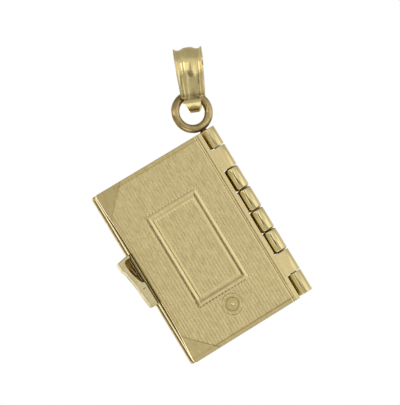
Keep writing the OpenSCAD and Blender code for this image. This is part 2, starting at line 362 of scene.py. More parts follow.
# what each finish below gives, in this order
finishKeys = ("colour", "deepColour", "shadeColour",
              "recessShade", "shadeReach", "shadeRange", "waves", "roughness", "lineRoughness",
              "lineStrength", "markStrength", "linesPerMm", "lineLength")
goldFinishes = {
    # the satin colour is darker than the alloy's own, as painted shade for the shadowing between
    # its fine lines
    "satin": ((0.75, 0.622, 0.315), (0.57, 0.46, 0.22), (0.16, 0.085, 0.02),
              0.8, 0.1 * mm, (0.6, 0.1), 0.002, (0.26, 0.34), 0.06, 1.0, 0.25, 14.0, 4.0),
    "matte": ((0.65, 0.53, 0.25), (0.55, 0.44, 0.2), (0.2, 0.11, 0.03),
              0.8, 0.12 * mm, (0.62, 0.12), 0.003, (0.3, 0.4), 0.04, 0.2, 0.3, 7.0, 3.0),
    "burnished": ((0.83, 0.695, 0.355), (0.74, 0.6, 0.29), (0.10, 0.045, 0.01),
                  0.9, 0.16 * mm, (0.62, 0.12), 0.006, (0.13, 0.22), 0.05, 0.25, 0.3, 12.0, 25.0),
    "knuckle": ((0.85, 0.72, 0.365), (0.76, 0.625, 0.295), (0.035, 0.018, 0.004),
                0.97, 0.45 * mm, (0.8, 0.42), 0.001, (0.07, 0.13), 0.02, 0.05, 0.12, 10.0, 12.0),
    "bail": ((0.83, 0.69, 0.34), (0.74, 0.59, 0.26), (0.14, 0.07, 0.015),
             0.9, 0.35 * mm, (0.62, 0.12), 0.012, (0.12, 0.2), 0.02, 0.06, 0.3, 4.0, 6.0),
    "ring": ((0.63, 0.50, 0.245), (0.42, 0.31, 0.135), (0.09, 0.04, 0.008),
             0.95, 0.5 * mm, (0.75, 0.3), 0.03, (0.06, 0.14), 0.02, 0.05, 0.35, 3.0, 3.0),
    "page": ((0.93, 0.80, 0.46), (0.86, 0.72, 0.38), (0.07, 0.035, 0.008),
             0.9, 0.35 * mm, (0.8, 0.35), 0.002, (0.08, 0.14), 0.03, 0.08, 0.3, 10.0, 60.0),
    # the edge gold is a lighter copy of the page gold, as painted highlight on the walls of the
    # back cover and the pages; the next one is a darker copy, as painted shade on the front cover's
    # walls
    "edge": ((0.95, 0.84, 0.52), (0.88, 0.74, 0.40), (0.12, 0.06, 0.015),
             0.5, 0.08 * mm, (0.4, 0.05), 0.002, (0.1, 0.18), 0.03, 0.08, 0.3, 10.0, 60.0),
    "clasp": ((0.76, 0.665, 0.385), (0.62, 0.52, 0.27), (0.14, 0.07, 0.015),
              0.8, 0.15 * mm, (0.6, 0.1), 0.008, (0.24, 0.36), 0.08, 0.6, 0.5, 9.0, 1.5),
    "shadedEdge": ((0.66, 0.50, 0.22), (0.46, 0.31, 0.11), (0.06, 0.03, 0.006),
                0.95, 0.3 * mm, (0.85, 0.4), 0.006, (0.25, 0.4), 0.1, 0.5, 0.4, 8.0, 2.0),
    # a dark brown only for painted shade: the sheet behind the clasp's slot, its slit and the foot
    # behind it
    "shadowBrown": ((0.44, 0.28, 0.06), (0.17, 0.085, 0.012), (0.03, 0.015, 0.003),
                  0.95, 0.3 * mm, (0.8, 0.3), 0.01, (0.2, 0.36), 0.05, 0.2, 0.4, 5.0, 2.0),
}
golds = {name: makeGold(name + "Gold", dict(zip(finishKeys, finish)),
                        bailPose["lean"] if name == "bail" else bookTurn)
         for name, finish in goldFinishes.items()}
print("gold finishes made")


# Bail

bail = {
    "lowRadius": 1.1, "topRadius": 1.45, "rise": 3.1, "thickness": 0.45,
    "topWidth": 2.98, "lowWidth": 2.48, "tailWidth": 1.8, "tipWidth": 0.62,
    "tailDrop": 0.31, "tailTurn": 58, "tailSharpness": 1.3, "tailPower": 0.55, "tuckTurn": 75,
    "tuckSteps": 6, "seatEase": 0.07, "seatFade": (0.8, 1.8),
    "shoulderTurns": (71, 64), "fluteTurns": (56, 84),
    "lowFlutes": 0.5, "fluteFade": (0.6, 2.3),
    "topSteps": 40, "legSteps": 28, "edgeRound": 0.05, "flutePoints": 4,
    "tipTurn": 38, "tipShare": 0.92, "tipShade": 0.5,
    "band": (-0.8, -0.66, -0.25, 0.1), "bandShade": 0.55,
    "scallopLine": (-0.6, -0.42), "scallopWave": (0.05, 6), "scallopShade": 0.95,
}
# the front leg thins toward the ring: height over the seat, and how much
tuck = [(2.75, 0), (2.45, 0.002), (2.05, 0.022), (1.85, 0.041), (1.65, 0.066), (1.35, 0.11),
        (0.7, 0.198), (0.3, 0.236), (0, 0.252), (-0.3, 0.258)]
# one broad rib between two hollows, with thin rims: share of the half width, and height
flutes = [(0, 0.065), (0.13, 0.061), (0.26, 0.045), (0.38, -0.015), (0.5, -0.105), (0.62, -0.152),
          (0.74, -0.155), (0.84, -0.105), (0.91, -0.02), (0.95, 0.0), (1, 0)]


def smoothThrough(points, steps):
    # points on a smooth curve through all the given ones
    full = [points[0]] + points + [points[-1]]
    made = []
    for a, b, c, d in zip(full, full[1:], full[2:], full[3:]):
        for i in range(steps):
            t = i / steps
            made.append(tuple(0.5 * (2 * q + (r - p) * t + (2 * p - 5 * q + 4 * r - s) * t * t
                                     + (3 * q - p - 3 * r + s) * t ** 3)
                              for p, q, r, s in zip(a, b, c, d)))
    return made + [points[-1]]


def tableValue(table, place):
    # value of a falling or rising table at a place
    for (a, low), (b, high) in zip(table, table[1:]):
        if min(a, b) <= place <= max(a, b):
            return mix(low, high, share(place, a, b))
    return table[0][1] if abs(place - table[0][0]) < abs(place - table[-1][0]) else table[-1][1]


def bailStations(sizes):
    # middles of the sections round the loop's inner face: y, z and the angle of the normal
    low, top, rise = sizes["lowRadius"], sizes["topRadius"], sizes["rise"]
    legRadius = (rise ** 2 + top ** 2 - low ** 2) / (2 * (top - low))
    legTurn = math.asin(rise / (legRadius - low))
    legMiddle = legRadius - top
    stations = []

    def addArc(y, z, radius, start, end, steps):
        for i in range(steps):
            a = mix(start, end, i / steps)
            stations.append((y + radius * math.cos(a), z + radius * math.sin(a), a))

    shoulders = [math.radians(t) for t in sizes["shoulderTurns"]]
    down = 1.5 * math.pi
    addArc(0, rise, top, 0, math.pi, sizes["topSteps"])
    addArc(legMiddle, rise, legRadius, math.pi, math.pi + legTurn, sizes["legSteps"])
    addArc(0, 0, low, math.pi + legTurn, down - shoulders[0], 1)
    addArc(0, 0, low, down - shoulders[0], down - shoulders[1], 4)
    addArc(0, 0, low, down - shoulders[1], down + shoulders[1], 32)
    addArc(0, 0, low, down + shoulders[1], down + shoulders[0], 4)
    addArc(0, 0, low, down + shoulders[0], math.tau - legTurn, 1)
    addArc(-legMiddle, rise, legRadius, math.tau - legTurn, math.tau, sizes["legSteps"])
    return stations


def makeBail(sizes):
    halfFlutes = smoothThrough(flutes, sizes["flutePoints"])
    smoothTuck = smoothThrough(tuck, sizes["tuckSteps"])
    across = [(-s, h) for s, h in reversed(halfFlutes[1:])] + halfFlutes
    down = 1.5 * math.pi

    def tailHalfWidth(turn):
        return mix(sizes["tipWidth"], sizes["tailWidth"],
                   share(turn, 0, sizes["shoulderTurns"][1]) ** sizes["tailPower"]) / 2

    def placeSection(verts, station):
        y, z, a = station
        turn = abs(math.degrees(a - down))
        if z >= 0 or turn > sizes["shoulderTurns"][0]:
            halfWidth = mix(sizes["lowWidth"], sizes["topWidth"],
                            share(z, 0, bailPose["seatHeight"])) / 2
        elif turn > sizes["shoulderTurns"][1]:
            step = smoothShare(turn, sizes["shoulderTurns"][1], sizes["shoulderTurns"][0])
            halfWidth = mix(sizes["tailWidth"], sizes["lowWidth"], step) / 2
        else:
            halfWidth = tailHalfWidth(turn)
        drop = 1 - share(turn, 0, sizes["tailTurn"])
        thickness = sizes["thickness"] + sizes["tailDrop"] * drop ** sizes["tailSharpness"]
        strength = smoothShare(turn, *sizes["fluteTurns"])
        strength *= mix(sizes["lowFlutes"], 1, smoothShare(z, *sizes["fluteFade"]))
        inward = 0
        if math.pi < a < down:
            inward = tableValue(smoothTuck, z) * share(turn, 0, sizes["tuckTurn"])
        ease = sizes["seatEase"] * (1 - smoothShare(z, *sizes["seatFade"]))
        heights = [thickness + strength * h - inward for s, h in across] + [ease, ease]
        sides = [s for s, h in across] + [1, -1]
        for vert, side, height in zip(verts, sides, heights):
            vert.co = (side * halfWidth, y + height * math.cos(a), z + height * math.sin(a))

    bm = bmesh.new()
    stations = bailStations(sizes)
    verts, firstEdges = chainOfEdges(bm, [(0, 0, 0)] * (len(across) + 2), closed=True)
    placeSection(verts, stations[0])
    edges = firstEdges
    for station in stations[1:]:
        fresh, edges = extrudeEdges(bm, edges)
        verts = [next(e.other_vert(v) for e in v.link_edges if e.other_vert(v) in fresh)
                 for v in verts]
        placeSection(verts, station)
    bmesh.ops.bridge_loops(bm, edges=edges + firstEdges)
    sharp = [e for e in bm.edges if e.is_manifold and e.calc_face_angle(0) > math.radians(50)]
    roundEdges(bm, sharp, sizes["edgeRound"], 3)

    def shadeAt(place):
        # painted shade on the tail's domed tip, where the two legs are soldered together, on a band
        # over the ring and along a wavy line low in that band
        x, y, z = place
        turn = math.degrees(math.atan2(abs(y), -z))
        sideways = min(1, abs(x) / (tailHalfWidth(turn) * sizes["tipShare"]))
        reach = sizes["tipTurn"] * math.sqrt(1 - sideways * sideways)
        tip = sizes["tipShade"] * (1 - share(turn, reach - 2, reach + 2)) if z < 0 else 0
        low, full, fade, high = sizes["band"]
        band = sizes["bandShade"] * smoothShare(z, low, full) * (1 - smoothShare(z, fade, high))
        wave, pace = sizes["scallopWave"]
        scallopLine = sizes["scallopShade"] * ridge(z + wave * math.cos(pace * x), *sizes["scallopLine"])
        return max(tip, band, scallopLine) if y < 0 else tip

    return finishPiece("bail_loop", bm, bailPlace, "bail", ["bail"],
                       [golds["bail"]], shadeAt)


makeBail(bail)
print("bail modelled")


# Ring, with its solder

ring = {"radius": 1.8, "wireRadius": 0.44, "side": -0.37, "rise": 2.35,
        "solderFoot": 0.5, "solderNeck": 0.2, "solderBury": 0.04, "sections": 96,
        "paintedShade": {"inside": 0.6, "below": 0.3, "solder": 0.8, "above": 0.45},
        "insideFade": 0.18, "belowFade": (1.5, 1.8), "outFade": (0.1, 0.36),
        "solderFade": (0.3, 0.5), "aboveFade": (0.6, 1.4)}


def makeRing(sizes):
    bm = bmesh.new()
    made = bmesh.ops.create_circle(bm, segments=32, radius=sizes["wireRadius"], cap_ends=False,
                                   matrix=Matrix.Translation((sizes["radius"], 0, 0))
                                   @ Matrix.Rotation(math.pi / 2, 4, "X"))
    edges = list({e for v in made["verts"] for e in v.link_edges})
    bmesh.ops.spin(bm, geom=made["verts"] + edges, cent=(0, 0, 0), axis=(0, 0, 1),
                   dvec=(0, 0, 0), angle=math.tau, steps=sizes["sections"],
                   use_merge=True, use_duplicate=False)
    bmesh.ops.remove_doubles(bm, verts=bm.verts, dist=weldDistance)
    place = (Matrix.Translation((sizes["side"], 0, sizes["rise"]))
             @ Matrix.Rotation(math.pi / 2, 4, "X"))
    bmesh.ops.transform(bm, verts=bm.verts, matrix=place)
    # the solder flows from the knuckle's top up to the wire in a hollow curve
    height = sizes["rise"] - sizes["radius"]
    outline = [(0, -sizes["solderBury"])]
    for t in evenPlaces(0, 1, 8):
        outline.append((mix(sizes["solderFoot"], sizes["solderNeck"], 1 - (1 - t) ** 2),
                        -sizes["solderBury"] + t * height))
    outline.append((0, height - sizes["solderBury"]))
    solder = turnedSolid(bm, outline, 40)
    bmesh.ops.translate(bm, verts=solder, vec=(sizes["side"], 0, 0))

    def shadeAt(place):
        # painted shade inside the ring, under the bail, in the corner toward the book and on the
        # solder
        x, z = place.x - sizes["side"], place.z - sizes["rise"]
        out = math.hypot(x, z) - sizes["radius"]
        inside = 1 - share(out, -sizes["wireRadius"], sizes["insideFade"] - sizes["wireRadius"])
        below = share(-z, *sizes["belowFade"]) * share(out, *sizes["outFade"])
        solder = 1 - share(place.z, *sizes["solderFade"])
        above = share(z, *sizes["aboveFade"])
        amount = sizes["paintedShade"]
        return max(amount["inside"] * inside, amount["below"] * below,
                   amount["solder"] * solder, amount["above"] * above)

    return finishPiece("jump_ring", bm, bookPlace, "front_cover",
                       ["front_cover"], [golds["ring"]], shadeAt)


makeRing(ring)
print("ring modelled")


# Knuckles and pin

knuckle = {
    "radius": 0.82, "bore": 0.40, "first": 2.2, "gap": 0.1, "count": 8, "lowest": -19.85,
    "rimRound": 0.16, "curlRound": 0.07, "collarRadius": 0.62, "collarReach": 0.038,
    "capThickness": 0.4, "capOver": 0.03, "capSink": 0.004, "capDome": 0.012,
    "steps": 56, "plateRoot": -1.35, "seamTurn": math.radians(297),
    # the curl's start: reach from the plate's root, rise over the face, depth under the inside
    "curlStart": ((0, -0.012, 0.1), (0.2, 0.005, 0.03)), "curlRise": 0.008,
}
pin = {"radius": 0.36, "inset": 0.1, "dome": 0.07}
knucklePitch = (book["height"] - knuckle["first"]) / (knuckle["count"] - 1)


def knuckleSpan(number):
    # foot and top of a knuckle on the hinge axis
    top = 0 if number == 1 else -knuckle["first"] - (number - 2) * knucklePitch
    length = (knuckle["first"] if number == 1 else knucklePitch) - knuckle["gap"]
    return max(top - length, knuckle["lowest"]), top


def addTube(bm, number):
    # a plain tube knuckle with rolled rims
    foot, top = knuckleSpan(number)
    r, c = knuckle["radius"], knuckle["rimRound"]
    quarter = [math.radians(a) for a in (0, 30, 60, 90)]
    collar, reach = knuckle["collarRadius"], knuckle["collarReach"]
    outline = [(knuckle["bore"], foot - reach), (collar - reach, foot - reach), (collar, foot)]
    outline += [(r - c + c * math.sin(a), foot + c - c * math.cos(a)) for a in quarter]
    outline += [(r - c + c * math.cos(a), top - c + c * math.sin(a)) for a in quarter]
    outline += [(collar, top), (collar - reach, top + reach), (knuckle["bore"], top + reach)]
    return turnedSolid(bm, outline, knuckle["steps"])


def pageShade(place):
    # painted shade on the first page's edge beside the clasp's slot, and on the knuckles' rims, in
    # the gaps between them
    if place.x < book["foreEdge"] + book["pageInset"] + page["edgeReach"]:
        if place.y < book["pageBottoms"][0] - 0.01:
            return 0
        start, full, fade, end = page["besideSlot"]
        return page["slotShade"] * share(-place.z, start, full) * share(-place.z, end, fade)
    if place.x < page["bridgeRoot"] or math.hypot(place.x, place.y) < knuckle["collarRadius"]:
        return 0
    spans = [end for number in (3, 4, 5, 6) for end in knuckleSpan(number)]
    fromRim = min(abs(place.z - end) for end in spans)
    return page["rimShade"] * (1 - share(fromRim, *page["rimFade"]))


def addCurl(bm, number, side):
    # a knuckle rolled from the cover's own sheet: flat over the edge, then round the pin
    foot, top = knuckleSpan(number)
    face = book["coverFace"]
    inner = face - book["coverThickness"]
    old = set(bm.verts)
    stations = [(knuckle["plateRoot"] + reach, -face - rise, -inner - depth)
                for reach, rise, depth in knuckle["curlStart"]]
    stations += [(book["spineEdge"], -face - knuckle["curlRise"], -inner),
                 (0, -knuckle["radius"], -knuckle["bore"])]
    _, edges = chainOfEdges(bm, [(stations[0][0], y, foot) for y in stations[0][1:]])
    for previous, station in zip(stations, stations[1:]):
        fresh, edges = extrudeEdges(bm, edges)
        for v in fresh:
            outer = abs(v.co.y - previous[1]) < abs(v.co.y - previous[2])
            v.co = (station[0], station[1] if outer else station[2], foot)
    bmesh.ops.spin(bm, geom=edges + [v for e in edges for v in e.verts], cent=(0, 0, 0),
                   axis=(0, 0, 1), dvec=(0, 0, 0), angle=knuckle["seamTurn"],
                   steps=knuckle["steps"], use_merge=False, use_duplicate=False)
    bmesh.ops.remove_doubles(bm, verts=newVerts(bm, old), dist=weldDistance)
    flat = [f for f in bm.faces if all(v not in old for v in f.verts)]
    raised = bmesh.ops.extrude_face_region(bm, geom=flat)["geom"]
    bmesh.ops.translate(bm, verts=geomVerts(raised), vec=(0, 0, top - foot))
    made = newVerts(bm, old)
    rims = [e for e in bm.edges if all(v in made for v in e.verts) and e.is_manifold
            and e.calc_face_angle(0) > math.radians(50)
            and max(v.co.x for v in e.verts) > book["spineEdge"] - 0.02]
    roundEdges(bm, rims, knuckle["curlRound"], 3)
    bmesh.ops.scale(bm, vec=(1, -side, 1), verts=newVerts(bm, old))


def addPlug(bm, number):
    # closes the top knuckle, under the ring
    _, top = knuckleSpan(number)
    foot, radius = top - knuckle["capThickness"], knuckle["bore"] + knuckle["capOver"]
    turnedSolid(bm, [(0, foot), (radius, foot), (radius, top - knuckle["capSink"]),
                     (0, top + knuckle["capDome"])], 40)


def makePin():
    bm = bmesh.new()
    foot = -book["height"] + pin["inset"]
    top = -pin["inset"] - knuckle["capThickness"]
    outline = [(0, foot)]
    for i in range(1, 6):
        a = math.radians(90 * i / 5)
        outline.append((pin["radius"] * math.sin(a), foot + pin["dome"] * (1 - math.cos(a))))
    outline += [(pin["radius"], top), (0, top)]
    turnedSolid(bm, outline, 40)
    return finishPiece("hinge_rod", bm, bookPlace, "front_cover",
                       ["hinge_pin"], [golds["knuckle"]])


makePin()
print("hinge pin modelled")


# Covers

cover = {
    "edgeRound": 0.06, "innerRound": 0.04, "border": 0.45, "cornerLeg": 3.2,
    "cornerCuts": (-0.04, -0.02, 0.02, 0.06, 0.08),
    "ribPitch": 0.35, "ribDepth": 0.02, "ribSharpness": 0.8, "ribGrid": 6, "coarseRow": 0.13,
    "closest": (0.012, 0.02),
    "ribFade": {"border": 0.05, "corner": (0.02, 0.08), "spine": 0.04, "ornament": 0.08,
                "bead": 0.05, "frame": 0.04},
    "scribeWidth": 0.05, "scribeDepth": 0.03, "hollowReach": 1.2,
    "spineLine": -1.6, "spineLineWidth": 0.14, "spineLineDepth": 0.1,
    "spineLineEnd": -18.2, "spineLineFade": 0.6,
    "secondLine": (-1.86, -1.74), "secondDepth": 0.02,
    "cornerLine": (-0.04, 0.08), "cornerLineDepth": 0.035, "footLine": (0.28, 0.62),
    "paintedShade": {"spine": 0.5, "second": 0.28, "corner": 0.35, "foot": 0.22, "frame": 0.12,
                "dots": 0.36, "inner": 0.25, "innerFoot": 0.38, "topCorner": 0.14,
                "rightShare": 0.2, "footShare": 2.3},
}
# the back cover's fore-edge is hollowed: share of the way down it, and depth
foreEdgeHollow = [(0, 0.1), (0.04, 0.15), (0.1, 0.16), (0.18, 0.24), (0.3, 0.28), (0.5, 0.28),
                  (0.7, 0.27), (0.8, 0.24), (0.88, 0.16), (0.95, 0.05), (1, 0)]
frameRelief = {"fromEdge": 3.477, "fromTop": 4.65, "width": 6.176, "height": 10.63,
               "groove": (-0.2, 0), "bead": (0, 0.4), "innerGroove": (0.42, 0.58),
               "footBand": (0.16, 0.64), "line": (0.6, 0.76), "grooveDepth": 0.025,
               "beadRise": 0.056, "lineRise": 0.014, "clearing": 0.82,
               "dotPitch": 0.4, "dotGroove": (0.7, 0.8), "rightReach": 0.3, "footReach": 0.7}
frameLeft = book["foreEdge"] + frameRelief["fromEdge"]
frameRight = frameLeft + frameRelief["width"]
frameTop = -frameRelief["fromTop"]
frameFoot = frameTop - frameRelief["height"]
ornament = {"x": (frameLeft + frameRight) / 2 + 0.12, "z": -16.84,
            "rings": ((0.42, 0.06), (0.7, 0.06)), "dot": 0.2, "outerRing": (1.13, 0.04),
            "rise": 0.045, "groove": 0.03, "reach": 0.86, "sink": 0.2, "slope": 0.03,
            "step": 0.02, "lip": 0.004,
            "paintedShade": (((0.16, 0.38), 0.5), ((0.5, 0.84), 0.6), ((1.0, 1.26), 0.36))}
cornerBead = {"x": frameLeft - 0.02, "z": frameTop + 0.02, "radius": 0.13, "moat": 0.2,
              "squash": 0.7, "depth": 0.015, "paintedShade": 0.5}
ribStart = book["foreEdge"] + cover["border"]
ribEnd = cover["spineLine"] - 0.34
ribCount = round((ribEnd - ribStart) / cover["ribPitch"])
ribPitch = (ribEnd - ribStart) / ribCount
spineLineSpan = (cover["spineLine"], cover["spineLine"] + cover["spineLineWidth"])


def frameDepth(x, z):
    # how far a point lies inside the frame's outer edge
    return min(x - frameLeft, frameRight - x, frameTop - z, z - frameFoot)


def dotShare(x, z):
    # the row of dots along the frame: one in the middle of a dot and zero between two
    along = z if min(x - frameLeft, frameRight - x) < min(frameTop - z, z - frameFoot) else x
    return 0.5 + 0.5 * math.cos(math.tau * along / frameRelief["dotPitch"])


def hump(value, start, end):
    # height of a half-round moulding between two places
    t = (2 * value - start - end) / (end - start)
    return math.sqrt(1 - t * t) if abs(t) < 1 else 0.0


def cornerDepth(x, z):
    # how far a point lies beyond the diagonals that close the corner pieces
    fromFore = x - book["foreEdge"]
    fromEnd = min(-z, z + book["height"])
    return (fromFore + fromEnd - cover["cornerLeg"]) / math.sqrt(2)


def reliefHeight(x, z):
    # height of the pressed relief over the cover's face
    fromSides = min(x - book["foreEdge"], -z, z + book["height"])
    inFrame = frameDepth(x, z)
    fromCorner = cornerDepth(x, z)
    fromOrnament = math.hypot(x - ornament["x"], z - ornament["z"])
    fromBead = math.hypot(x - cornerBead["x"], z - cornerBead["z"])
    fade = cover["ribFade"]
    ribbed = (share(fromSides, cover["border"], cover["border"] + fade["border"])
              * share(fromCorner, *fade["corner"]) * share(ribEnd - x, 0, fade["spine"])
              * share(fromOrnament, ornament["reach"], ornament["reach"] + fade["ornament"])
              * share(fromBead, cornerBead["moat"], cornerBead["moat"] + fade["bead"]))
    if inFrame > frameRelief["groove"][0]:
        clearing = frameRelief["clearing"]
        ribbed *= share(inFrame, clearing - fade["frame"], clearing)
    phase = (x - ribStart) / ribPitch % 1
    rib = -cover["ribDepth"] * (1 - abs(math.sin(math.pi * phase)) ** cover["ribSharpness"])
    height = ribbed * rib
    least, more = frameRelief["dotGroove"]
    height -= (frameRelief["grooveDepth"] * ridge(inFrame, *frameRelief["groove"])
               * (least + more * dotShare(x, z)))
    height += frameRelief["beadRise"] * ridge(inFrame, *frameRelief["bead"])
    height -= frameRelief["grooveDepth"] * ridge(inFrame, *frameRelief["innerGroove"])
    height += frameRelief["lineRise"] * ridge(inFrame, *frameRelief["line"])
    if inFrame < 0 and x < cover["spineLine"]:
        height -= cover["cornerLineDepth"] * hump(fromCorner, *cover["cornerLine"])
    height -= cover["secondDepth"] * hump(x, *cover["secondLine"])
    height -= (cover["spineLineDepth"] * hump(x, *spineLineSpan)
               * share(z, cover["spineLineEnd"], cover["spineLineEnd"] + cover["spineLineFade"]))
    scribed = abs(fromSides - cover["border"]) < cover["scribeWidth"] / 2 and fromCorner > 0
    if scribed and x < cover["spineLine"]:
        height -= cover["scribeDepth"]
    return height


def coverShade(place):
    # painted shade in the lines beside the spine, round the frame and at the corners, much stronger
    # in the frame's outer groove along its foot and weaker along its right side
    x, y, z = place
    amount = cover["paintedShade"]
    if abs(y) < book["coverFace"] - 0.2:
        return 0
    inFrame = frameDepth(x, z)
    outside = ridge(inFrame, *frameRelief["groove"])
    atRight = frameRight - x < frameRelief["rightReach"]
    atFoot = z - frameFoot < frameRelief["footReach"]
    outerShare = amount["rightShare"] if atRight else amount["footShare"] if atFoot else 1
    dark = [amount["spine"] * hump(x, *spineLineSpan),
            amount["second"] * hump(x, *cover["secondLine"]),
            amount["inner"] * ridge(inFrame, *frameRelief["innerGroove"]),
            amount["innerFoot"] * ridge(inFrame, *frameRelief["footBand"]) if atFoot else 0,
            outside * (amount["frame"] + amount["dots"] * dotShare(x, z)) * outerShare]
    if inFrame < 0 and x < cover["spineLine"]:
        fromCorner = cornerDepth(x, z)
        dark.append(amount["corner"] * hump(fromCorner, *cover["cornerLine"]))
        if z > -cover["cornerLeg"] and fromCorner < 0:
            dark.append(amount["topCorner"])
        dark.append(amount["foot"] * ridge(z + book["height"], *cover["footLine"]))
    return max(dark)


hollowCurve = smoothThrough(foreEdgeHollow, 8)


def hollowDepth(down):
    # depth of the hollow at a share of the way down the fore-edge
    for (a, low), (b, high) in zip(hollowCurve, hollowCurve[1:]):
        if a <= down <= b:
            return mix(low, high, share(down, a, b))
    return 0.0


def coverPlaces():
    # columns and rows of the cover's grid, dense where the relief needs them
    start = book["foreEdge"] + cover["edgeRound"]
    end = book["spineEdge"] - cover["edgeRound"]
    profile = [-0.2, -0.15, -0.1, -0.05, 0, 0.06, 0.12, 0.18, 0.22, 0.25, 0.28, 0.32, 0.38, 0.44,
               0.5, 0.54, 0.58, 0.62, 0.66, 0.69, 0.72, 0.75, 0.78, 0.84]
    border = [cover["border"] - cover["scribeWidth"], cover["border"] - cover["scribeWidth"] / 2,
              cover["border"] + cover["scribeWidth"] / 2, cover["border"] + 0.05]
    corner = evenPlaces(0, book["cornerRadius"] - cover["edgeRound"], 6)
    tight = evenPlaces(0, book["spineCornerRadius"] - cover["edgeRound"], 3)
    columns = mergedPlaces([
        [start, end],
        [start + c for c in corner], [end - c for c in tight],
        [book["foreEdge"] + b for b in border],
        evenPlaces(*spineLineSpan, 6), evenPlaces(*cover["secondLine"], 4),
        [frameLeft + p for p in profile], [frameRight - p for p in profile],
        evenPlaces(ribStart, ribEnd, ribCount * cover["ribGrid"]),
    ], cover["closest"][0])
    bead, moat = cornerBead["z"], cornerBead["moat"]
    lineEnd, lineFade = cover["spineLineEnd"], cover["spineLineFade"]
    top, foot = -cover["edgeRound"], -book["height"] + cover["edgeRound"]
    rowCount = round(book["height"] / cover["coarseRow"])
    reach = ornament["reach"] + 0.1
    rows = mergedPlaces([
        [top, foot],
        [top - c for c in corner], [foot + c for c in corner],
        [-b for b in border], [b - book["height"] for b in border],
        [frameTop - p for p in profile], [frameFoot + p for p in profile],
        evenPlaces(lineEnd, lineEnd + lineFade, 2),
        evenPlaces(ornament["z"] - reach, ornament["z"] + reach, 24),
        evenPlaces(bead - moat, bead + moat, 6),
        evenPlaces(foot, top, rowCount),
    ], cover["closest"][1])
    return columns, rows


def cornerOffset(x, z):
    # how far a point lies beyond the middle of its rounded corner, sideways and upright
    nearSpine = x > (book["foreEdge"] + book["spineEdge"]) / 2
    radius = book["spineCornerRadius"] if nearSpine else book["cornerRadius"]
    sideways = (x - book["spineEdge"] + radius) if nearSpine else (x - book["foreEdge"] - radius)
    nearTop = z > -book["height"] / 2
    upright = (z + radius) if nearTop else (z + book["height"] - radius)
    sideways = max(sideways, 0) if nearSpine else min(sideways, 0)
    upright = max(upright, 0) if nearTop else min(upright, 0)
    return sideways, upright


def growOutline(bm, edges, outward, inward):
    # one more loop of the plate's wall: outward in the plane, inward through the plate
    fresh, edges = extrudeEdges(bm, edges)
    for v in fresh:
        a, b = cornerOffset(v.co.x, v.co.z)
        length = math.hypot(a, b)
        v.co += Vector((a / length * outward, inward, b / length * outward))
    return edges


def makeOrnament(name, side, body):
    # a dot in rings on a smooth disc, with one fine ring round it, and the frame's corner bead
    bm = bmesh.new()
    face = book["coverFace"]
    rise, groove, reach = ornament["rise"], ornament["groove"], ornament["reach"]
    sink, slope, dot = ornament["sink"], ornament["slope"], ornament["dot"]
    step, lip = ornament["step"], ornament["lip"]
    outline = [(0, -sink), (0, rise)]
    outline += [(dot * math.sin(math.radians(a)), rise * math.cos(math.radians(a)) ** 0.5)
                for a in (30, 55, 75)]
    outline += [(dot + step, -groove)]
    for radius, half in ornament["rings"]:
        outline += [(radius - half - slope, -groove), (radius - half, 0.0),
                    (radius - half * 0.5, rise), (radius + half * 0.5, rise),
                    (radius + half, 0.0), (radius + half + slope, -groove)]
    outline += [(reach - slope, -lip), (reach, lip), (reach + step, -slope),
                (reach + step, -sink), (0, -sink)]
    disc = turnedSolid(bm, outline, 72)
    radius, half = ornament["outerRing"]
    quarter = [math.radians(a) for a in range(0, 181, 30)]
    thin = [(radius + half * math.cos(a), rise * math.sin(a) - 0.01) for a in quarter]
    disc += turnedSolid(bm, thin + [(radius - half, -0.1), (radius + half, -0.1)], 72)
    place = (Matrix.Translation((ornament["x"], -face, ornament["z"]))
             @ Matrix.Rotation(math.pi / 2, 4, "X"))
    bmesh.ops.transform(bm, matrix=place, verts=disc)
    bead = bmesh.ops.create_uvsphere(bm, u_segments=20, v_segments=12,
                                     radius=cornerBead["radius"])["verts"]
    bmesh.ops.scale(bm, vec=(1, cornerBead["squash"], 1), verts=bead)
    bmesh.ops.translate(bm, verts=bead,
                        vec=(cornerBead["x"], -face + cornerBead["depth"], cornerBead["z"]))
    bmesh.ops.scale(bm, vec=(1, -side, 1), verts=bm.verts)

    def shadeAt(place):
        # painted shade in rings round the dot and at the foot of the corner bead
        out = math.hypot(place.x - ornament["x"], place.z - ornament["z"])
        fromBead = math.hypot(place.x - cornerBead["x"], place.z - cornerBead["z"])
        if fromBead < cornerBead["radius"] + 0.01:
            return cornerBead["paintedShade"] * share(face + 0.07 - abs(place.y), 0, 0.06)
        return max(amount * ridge(out, *band) for band, amount in ornament["paintedShade"])

    return finishPiece(name, bm, bookPlace, body, [body],
                       [golds["burnished"]], shadeAt)


